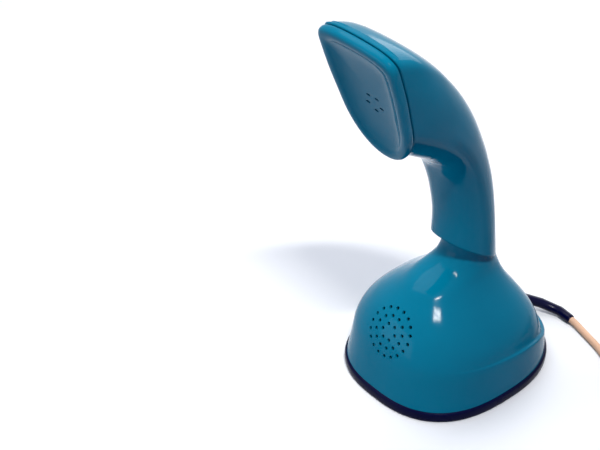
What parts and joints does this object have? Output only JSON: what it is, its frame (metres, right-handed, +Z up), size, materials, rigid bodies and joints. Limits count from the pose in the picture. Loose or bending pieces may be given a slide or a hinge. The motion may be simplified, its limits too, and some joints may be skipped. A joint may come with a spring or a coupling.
{
  "type": "one-piece rotary telephone",
  "caption": "Upright one-piece rotary dial telephone with an ear cap at the top, a microphone grille in the dome, and the dial and hook button under its base.",
  "frame": {"origin": "centre of the phone's footprint box at table height, without its cord: under the rubber rim, half the head's overhang in front of the dial's axis", "axes": "+Z up; the ear cap and the microphone holes face -Y; the cord leaves at +Y"},
  "size_m": [0.1641, 0.2024, 0.2272],
  "materials": {
    "shell_blue": "gloss",
    "cap_blue": "gloss",
    "rim_rubber": "satin",
    "plate_cream": "satin",
    "screw_chrome": "polished",
    "label_card": "matte",
    "steel": "brushed",
    "number_cream": "satin",
    "wheel_black": "gloss",
    "brass": "satin",
    "contact_block": "matte",
    "button_red": "gloss",
    "board_brown": "matte",
    "terminal_dark": "satin",
    "capacitor_silver": "satin",
    "core_iron": "matte",
    "winding_red": "satin",
    "capsule_black": "satin",
    "seal_grey": "matte",
    "wire_red": "satin",
    "wire_yellow": "satin",
    "wire_grey": "satin",
    "relief_navy": "gloss",
    "cord_peach": "satin",
    "plug_cream": "satin"
  },
  "bodies": {
    "case": {"case_shell": "shell_blue", "ear_cap": "cap_blue", "base_gasket": "rim_rubber", "base_plate": "plate_cream", "base_screws": "screw_chrome", "label_card": "label_card", "finger_stop": "steel", "stop_rivets": "steel", "number_ring": "number_cream", "dial_frame": "steel", "dial_screws": "screw_chrome", "bearing_bridge": "steel", "pulse_contacts": "contact_block", "button_spring": "steel", "chassis_plate": "steel", "chassis_pillars": "brass", "chassis_screws": "screw_chrome", "stem_guide": "brass", "hook_bracket": "steel", "lever_pin": "screw_chrome", "hook_contacts": "contact_block", "circuit_board": "board_brown", "board_spacers": "brass", "terminal_block": "terminal_dark", "terminal_screws": "screw_chrome", "capacitor": "capacitor_silver", "capacitor_clip": "steel", "coil_core": "core_iron", "coil_winding": "winding_red", "microphone": "capsule_black", "microphone_seal": "seal_grey", "microphone_bracket": "steel", "receiver": "capsule_black", "receiver_seal": "seal_grey", "receiver_clamp": "steel", "receiver_leads": "wire_red", "microphone_leads": "wire_yellow", "inlet_leads": "wire_grey", "cord_clamp": "terminal_dark", "strain_relief": "relief_navy", "line_cord": "cord_peach", "line_cord_coil": "cord_peach", "line_cord_tail": "cord_peach", "plug_body": "plug_cream", "plug_pins": "brass"},
    "dial": {"finger_wheel": "wheel_black", "dial_hub": "steel", "dial_gear": "brass"},
    "pulse_train": {"pulse_shaft": "brass"},
    "governor_rotor": {"governor": "brass"},
    "hook": {"hook_button": "button_red", "button_stem": "steel"},
    "lever": {"hook_lever": "steel"}
  },
  "joints": [
    {"name": "dial_turn", "type": "hinge", "parent": "case", "child": "dial", "pos_m": [0, 0.0115, 0], "axis": [0, 0, 1], "range_deg": [0, 330], "stiffness_Nm_per_rad": 0.004},
    {"name": "pulse_spin", "type": "hinge", "parent": "case", "child": "pulse_train", "pos_m": [-0.0294, 0.0115, 0], "axis": [0, 0, 1], "range_deg": [-1990, 0]},
    {"name": "governor_spin", "type": "hinge", "parent": "case", "child": "governor_rotor", "pos_m": [-0.02715, 0.00022, 0], "axis": [0, 0, 1], "range_deg": [0, 7140]},
    {"name": "hook_slide", "type": "slide", "parent": "case", "child": "hook", "axis": [0, 0, -1], "range_m": [0, 0.006], "stiffness_N_per_m": 120, "springref_m": 0.006, "deforming": ["button_spring"]},
    {"name": "lever_turn", "type": "hinge", "parent": "case", "child": "lever", "pos_m": [0, 0.0265, 0.031], "axis": [1, 0, 0], "range_deg": [0, 23.5]}
  ],
  "couplings": [
    {"joint": "pulse_spin", "follows": "dial_turn", "ratio": -6},
    {"joint": "governor_spin", "follows": "dial_turn", "ratio": 21.6},
    {"joint": "lever_turn", "follows": "hook_slide", "rad_per_m": 66.667}
  ]
}
